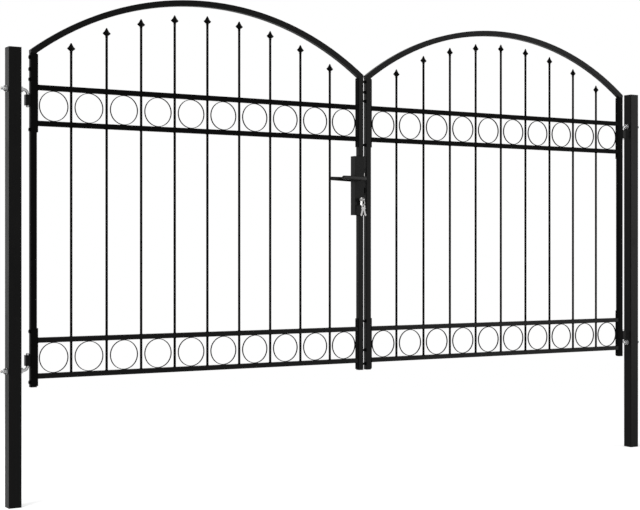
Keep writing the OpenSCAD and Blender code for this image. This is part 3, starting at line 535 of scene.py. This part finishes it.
hooks = joined([hook_bolt(LOWER_HOOK, True, LOWER_PIN),
                hook_bolt(UPPER_HOOK, False, UPPER_PIN)])
nuts = on_hooks(hexagon(NUT_FLATS, NUT_H, HOOK_R + 0.05), WASHER_T + NUT_H / 2)
washers = on_hooks(washer(WASHER_R, HOOK_R + 0.3, WASHER_T), WASHER_T / 2)
for side, shape in both_sides(hooks).items():
    add_piece(side + "_threaded_hooks", shape, "posts", "zinc", side + "_hook_bolts")
add_piece("chamfered_hook_nuts", joined([nuts, nuts.flipped(0)]), "posts", "zinc",
          "hook_nuts", sharp=20)
add_piece("pressed_washers", joined([washers, washers.flipped(0)]), "posts", "zinc",
          "hook_washers")

UPPER_BOLTS = [1440.0, 1632.5, 1671.5, 1717.5]      # the bolts' heights
HINGE_BOLTS = [472.0, 667.0] + UPPER_BOLTS
LOCK_BOLTS = [479.0, 539.0, 667.0] + UPPER_BOLTS
bolts = joined([panel_bolt(LEAF_OUT, z, -1) for z in HINGE_BOLTS] +
               [panel_bolt(LEAF_IN, z, 1) for z in LOCK_BOLTS])
for side, shape in both_sides(bolts).items():
    add_piece(side + "_hexagon_bolts", shape, side + "_leaf", "black_paint",
              side + "_panel_bolts", sharp=20)

# ---------------------------------------------------------------- spear tips and rings


TIP_L = 36.0
TIP_GAP = 59.0      # between the arch's outer face and the tips' points
TIP_PROFILE = [     # height from the foot, reach of the corners
    (0.0, 4.9), (0.5, 5.3), (3.4, 5.3), (4.2, 5.6), (6.0, 8.6), (8.6, 12.6), (11.5, 15.6),
    (13.0, 16.8), (13.9, 17.0), (14.8, 16.9), (15.6, 16.2), (17.0, 14.3), (18.6, 12.5), (21.9, 9.6),
    (25.9, 7.2), (29.9, 5.1), (33.5, 3.1), (35.2, 1.7), (TIP_L, 0.4)]


def spear_tip():
    """A cast spear tip from its foot up. The profile gives the reach of the corners, and at a height
    the outline is r(a) = R / (|cos a| ** p + |sin a| ** p) ** (1 / p): round where p is 2, at the neck,
    and a square with slightly hollow sides where p is 0.94, at the barbs."""
    z, reach = np.array(TIP_PROFILE).T[..., None]
    power = np.interp(z, [0, 3.4, 6.0, 8.6, TIP_L], [2.0, 2.0, 1.3, 0.94, 1.0])
    angle = circle_angles(24)
    corners = np.abs(np.cos(angle)) ** power + np.abs(np.sin(angle)) ** power
    return round_z(reach * corners ** (-1 / power), angle, z)


def strip_ring():
    """A ring of flat strip about y: the section is a rectangle with soft corners."""
    soft = 0.45
    outer, inner, half = RING_R, RING_R - RING_T, RING_DEPTH / 2
    return lathe([(outer - soft, -half), (outer, soft - half), (outer, half - soft),
                  (outer - soft, half), (inner + soft, half), (inner, half - soft),
                  (inner, soft - half), (inner + soft, -half)], 96, closed=True).axes("yzx")


def tip_foot(x):
    """The height of a tip's foot at x from the leaf's middle, for a point TIP_GAP inside the arch."""
    return ARCH_Z + np.sqrt((ARCH_R - TIP_GAP) ** 2 - x ** 2) - TIP_L


tips = spear_tip().repeated([(LEAF_X + x, 0, tip_foot(x)) for x in BAR_XS])
for side, shape in both_sides(tips).items():
    add_piece(side + "_cast_tips", shape, side + "_leaf", "black_paint",
              side + "_spear_tips", sharp=34)
for band, z in RING_ZS.items():
    rings = strip_ring().repeated([(LEAF_X + x, 0, z) for x in RING_XS])
    for side, shape in both_sides(rings).items():
        add_piece(f"{side}_{band}_strip_rings", shape, side + "_leaf", "black_paint",
                  f"{side}_{band}_rings")

# ---------------------------------------------------------------- levers, keys and spring


def superellipse(angle, power):
    """Points (u, v) of the outline |u| ** (2 / power) + |v| ** (2 / power) = 1: a power under 1 fills
    the corners of its square."""
    c, s = np.cos(angle), np.sin(angle)
    return np.sign(c) * np.abs(c) ** power, np.sign(s) * np.abs(s) ** power


def lever(side):
    """A lever, a grip lofted along -X and a neck turned about Y: the back one if side is 1, and the
    front one if it is -1. The grip's section is a superellipse. Its top edge stays level, its lower
    edge rises towards the tip, and both ends round off."""
    length, hub, tip, thick, stand_off = 113.0, 10.0, 8.0, 5.0, 41.0
    case_face, tip_x = CASE_DEPTH / 2, tip - length
    x = np.concatenate([hub * np.cos(np.linspace(0.12, 1.45, 9)),
                        np.linspace(-3, tip_x + 2.5, 16),
                        tip_x - tip * np.sin(np.linspace(0.08, 1.5, 9))])[:, None]
    half_h = np.interp(x, [tip_x, 0], [tip, hub])
    end = np.where(x > 0, x / hub, np.where(x < tip_x, (tip_x - x) / tip, 0.0))
    angle = circle_angles(32)
    u, v = superellipse(angle, 2 / 3.2)
    y = thick * np.clip(1 - end ** 4, 0.01, 1) ** 0.4 * u
    z = hub - half_h + half_h * np.sqrt(np.clip(1 - end ** 2, 0.0004, 1)) * v
    grip = loft(np.stack([x + 0 * angle, y, z], axis=-1)[::-1])
    neck = lathe([(9.0, 0.3), (9.0, 1.6), (8.5, 2.2), (8.2, 12.0), (7.6, 20.0), (7.6, 27.0),
                  (8.4, 30.5), (9.3, 32.6), (8.6, 36.0)], 40).axes("yzx")
    shape = joined([grip.moved(0, case_face + stand_off - thick, 0), neck.moved(0, case_face, 0)])
    return (shape.flipped(1) if side < 0 else shape).moved(AXIS_X, 0, LEVER_Z)


for name, side in (("front_lever", -1), ("back_lever", 1)):
    add_piece(name + "_grip", lever(side), "levers", "lever_paint", name, sharp=60)


def split_ring(radius=12.0, wire=0.9, turns=1.92):
    """A key ring of flat wire wound nearly twice: a helix about y with a rounded oblong section."""
    count = 120
    a = np.linspace(0, turns * math.tau, count) - 0.6
    outward = np.stack([np.sin(a), 0 * a, np.cos(a)], axis=-1)
    slide = (np.linspace(0, 1, count) - 0.5) * wire
    path = radius * outward + slide[:, None] * np.array([0.0, 1.0, 0.0])
    u, v = superellipse(circle_angles(10) + 0.3, 0.7)
    section = np.stack([0.86 * u, 0.42 * v], axis=-1)
    return swept(path, outward, np.broadcast_to(section, (count, 10, 2)))


def latch_spring(length, turns=8, wire_r=0.5, coil_r=3.5):
    """A coil spring along X, whose end turns are closed: its pitch is far less there."""
    turn = np.linspace(0, turns, turns * 20 + 1)
    a = turn * math.tau
    span, closed_l = length - 2 * wire_r, 1.1
    x = wire_r + np.interp(turn, [0, 0.9, turns - 0.9, turns],
                           [0, closed_l, span - closed_l, span])
    outward = np.stack([0 * a, np.cos(a), np.sin(a)], axis=-1)
    path = coil_r * outward + x[:, None] * np.array([1.0, 0.0, 0.0])
    around = circle_angles(10)
    section = wire_r * np.stack([np.cos(around), np.sin(around)], axis=-1)
    return swept(path, outward, np.broadcast_to(section, (len(a), 10, 2)))


spring_x, spring_z, spring_l, latch_travel = -52.4, 1321.0, 34.3, 11.0
spring = add_piece("latch_coil_spring", latch_spring(spring_l).moved(spring_x, 0, spring_z),
                   "left_leaf", "lock_steel", "latch_spring")
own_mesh(spring)

low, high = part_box("key_ring")
middle = [(a + b) / 2 / MM for a, b in zip(low, high)]
add_piece("split_key_ring", split_ring().turned(BUNCH_TURN).moved(*middle),
          BODIES["key_ring"], "nickel", "key_ring")

EASED_EDGES = {     # CAD nodes and the width of their edges' rounds
    "post_caps": 0.8, "lock_case": 1.0, "left_foot_plugs": 0.5, "right_foot_plugs": 0.5,
    "left_hinge_lugs": 0.7, "right_hinge_lugs": 0.7, "left_upper_side_plates": 0.4,
    "right_upper_side_plates": 0.4, "left_lower_side_plates": 0.4, "right_lower_side_plates": 0.4,
    "lock_faceplate": 0.35, "strike_plate": 0.3, "latch_bolt": 0.5, "dead_bolt": 0.5,
    "lock_cylinder": 0.25, "cylinder_plug": 0.15, "door_key": 0.2, "spare_keys": 0.2,
}
for node, width in EASED_EDGES.items():
    eased(node, width)

# ---------------------------------------------------------------- welds


def bead(start, end, wall, other, leg=2.6, ripple=1.7):
    """A fillet weld from start to end in the corner of two faces, whose outward directions are wall and
    other. Its section is the corner and a bulging face, and its leg swells once every ripple."""
    start, end, wall, other = (np.array(v, float) for v in (start, end, wall, other))
    length = np.linalg.norm(end - start)
    count = int(max(6, length / ripple * 4))
    s = np.linspace(0, 1, count)
    taper = np.clip(np.minimum(s, 1 - s) * length / leg, 0.05, 1) ** 0.5
    wave = 0.09 * np.sin(s * length / ripple * math.tau) + 0.05 * np.sin(s * 7.3 + length)
    swell = leg * taper * (1 + wave)
    path = start + s[:, None] * (end - start)
    u = np.array([-0.12, 1.0, 0.86, 0.56, 0.2, -0.12])
    v = np.array([-0.12, -0.12, 0.3, 0.66, 0.9, 1.0])
    if np.dot(np.cross(wall, other), end - start) < 0:
        u, v = u[::-1], v[::-1]
    section = u[:, None] * wall + v[:, None] * other
    return loft(path[:, None] + swell[:, None, None] * section)


def collar(radius, size, up, columns=14):
    """A small weld round a bar: a bulging fillet between the bar and the face above or below it."""
    sunk = 0.3
    profile = [(radius - sunk, -sunk), (radius + size, -sunk), (radius + size * 0.8, size * 0.45),
               (radius + size * 0.4, size * 0.8), (radius - sunk, size)]
    angle = circle_angles(columns)
    wobble = 1 + 0.035 * np.sin(angle * 3 + 0.7) + 0.02 * np.sin(angle * 5)
    ring = lathe(profile, columns, closed=True, reach=wobble)
    return ring if up else ring.flipped(2)


def tack(length=5.5, width=3.6, height=1.1):
    """A tack weld: the upper half of a flattened ellipsoid, sunk a little into what it joins."""
    rise = np.array([-0.35, 0.0, 0.5, 0.85, 0.98])[:, None]
    spread = np.sqrt(np.clip(1 - rise ** 2, 0.02, 1))
    blob = round_z(spread, circle_angles(12), rise)
    return Shape(blob.points * np.array([length, width, height]), blob.quads, blob.caps)


def leaf_welds():
    """The welds of one leaf, on the side where X is positive: tacks above and below the rings, collars
    round the bars at the rails and tips, and beads at the rails' ends and round the hinge lugs."""
    tack_z, faces = RING_R + 0.1, []
    for low in RAIL_ZS:
        faces += [(low, -1), (low + RAIL, 1)]
    faces = faces[1:]       # nothing is welded to the lowest rail's underside
    welds = []
    for z in RING_ZS.values():
        for x in RING_XS:
            welds += [tack().flipped(2).moved(LEAF_X + x, 0, z + tack_z),
                      tack().moved(LEAF_X + x, 0, z - tack_z)]
    for z, up in faces:
        welds += [collar(BAR_R, 1.9, up > 0).moved(LEAF_X + x, 0, z) for x in BAR_XS]
    welds += [collar(BAR_R, 1.4, False).moved(LEAF_X + x, 0, tip_foot(x)) for x in BAR_XS]
    for x, inward in ((PLATE_IN, 1), (PLATE_OUT, -1)):
        welds += [bead((x, -9, z), (x, 9, z), (inward, 0, 0), (0, 0, up)) for z, up in faces]
    x = LEAF_OUT
    for z in (LOWER_LUG, UPPER_LUG):
        for side in (-1, 1):
            y = side * LUG / 2
            welds.append(bead((x, y, z + 1), (x, y, z + LUG_H - 1), (1, 0, 0), (0, side, 0), 1.9))
        for end, up in ((z, -1), (z + LUG_H, 1)):
            welds.append(bead((x, -8, end), (x, 8, end), (1, 0, 0), (0, 0, up), 2.4))
    return joined(welds)


def case_welds():
    """The welds round the stile above and below the lock case, on the left leaf."""
    back, leg = -LEAF_IN - STILE, 3.0
    welds = []
    for z, up in ((CASE_BOTTOM, -1), (CASE_TOP, 1)):
        for out in (-1, 1):
            y = out * STILE / 2
            welds.append(bead((-30.0, y, z), (-10.0, y, z), (0, out, 0), (0, 0, up), leg))
        welds.append(bead((back, -10.0, z), (back, 10.0, z), (-1, 0, 0), (0, 0, up), leg))
    return joined(welds)


for side, shape in both_sides(leaf_welds()).items():
    add_piece(side + "_leaf_welds", shape, side + "_leaf", "black_paint")
add_piece("lock_case_welds", case_welds(), "left_leaf", "black_paint")

# ---------------------------------------------------------------- stage, light and camera


def floor_piece():
    """A flat pale floor under the posts, white to the camera except where the gate shades it: near the
    gate its grey is lifted by a glow, and further away it fades into white."""
    half = 60.0
    mesh = bpy.data.meshes.new("floor")
    corners = [(-half, -half, 0), (half, -half, 0), (half, half, 0), (-half, half, 0)]
    mesh.from_pydata(corners, [], [(0, 1, 2, 3)])
    piece = bpy.data.objects.new("floor", mesh)
    bpy.context.scene.collection.objects.link(piece)
    t = Tree(bpy.data.materials.new("pale_floor"))
    seen = t.seen_directly()
    away = t.add("ShaderNodeVectorMath", {"operation": "LENGTH"}, {0: t.place()}).out("Value")
    far = away.step(2.4, 4.2)
    lit = t.add("ShaderNodeBsdfDiffuse", None, {"Color": grey(0.8)}).out(0)
    glow = t.add("ShaderNodeEmission", None, {"Color": grey(1.0), "Strength": 0.5}).out(0)
    near = t.add("ShaderNodeAddShader", None, {0: lit, 1: glow}).out(0)
    white = t.add("ShaderNodeEmission", None, {"Color": grey(1.0), "Strength": 1.0}).out(0)
    shown = t.add("ShaderNodeMixShader", None, {0: far, 1: near, 2: white}).out(0)
    both = t.add("ShaderNodeMixShader", None, {0: seen, 1: lit, 2: shown}).out(0)
    t.add("ShaderNodeOutputMaterial", None, {"Surface": both})
    mesh.materials.append(t.owner)


def world_light():
    """White to the camera, in reflections and through glass, and a soft even light on the gate."""
    world = bpy.data.worlds.new("studio")
    bpy.context.scene.world = world
    t = Tree(world)
    seen = t.seen_directly()
    soft = t.add("ShaderNodeBackground", None, {"Color": grey(1.0), "Strength": 0.5}).out(0)
    white = t.add("ShaderNodeBackground", None, {"Color": grey(1.0), "Strength": 1.0}).out(0)
    mix = t.add("ShaderNodeMixShader", None, {0: seen, 1: soft, 2: white}).out(0)
    t.add("ShaderNodeOutputWorld", None, {"Surface": mix})


def area_light(name, place, target, size, power):
    """A soft square lamp at place that looks at target."""
    lamp = bpy.data.lights.new(name, "AREA")
    lamp.size, lamp.energy = size, power
    holder = bpy.data.objects.new(name, lamp)
    bpy.context.scene.collection.objects.link(holder)
    holder.location = place
    aim = np.array(target, float) - np.array(place, float)
    yaw = math.atan2(aim[1], aim[0]) - math.pi / 2
    pitch = math.atan2(aim[2], math.hypot(aim[0], aim[1]))
    holder.rotation_euler = (math.pi / 2 + pitch, 0, yaw)


def camera():
    """The photograph's viewpoint: in front of the gate and left of it, level, turned 31 degrees to the
    right, with the horizon 5.25 px above the picture's middle."""
    width_px, lens_px, horizon_px = 640, 1384.7, 5.25
    data = bpy.data.cameras.new("camera")
    data.sensor_width = 36.0
    data.lens = data.sensor_width * lens_px / width_px
    data.shift_y = -horizon_px / width_px
    data.clip_end = 200.0
    holder = bpy.data.objects.new("camera", data)
    bpy.context.scene.collection.objects.link(holder)
    holder.location = (-3.2981, -5.1171, 0.9797)
    holder.rotation_euler = (math.pi / 2, 0, -math.radians(31))
    bpy.context.scene.camera = holder


floor_piece()
world_light()
area_light("key_light", (-6.0, -2.5, 4.5), (0, 0, 1.0), 3.0, 300)
area_light("right_light", (5.0, -4.9, 1.5), (1.0, 0, 1.0), 3.6, 190)
area_light("rear_light", (-4.6, 6.0, 1.8), (-1.0, 0, 1.0), 3.0, 22)
camera()
bpy.context.scene.view_settings.view_transform = "Standard"
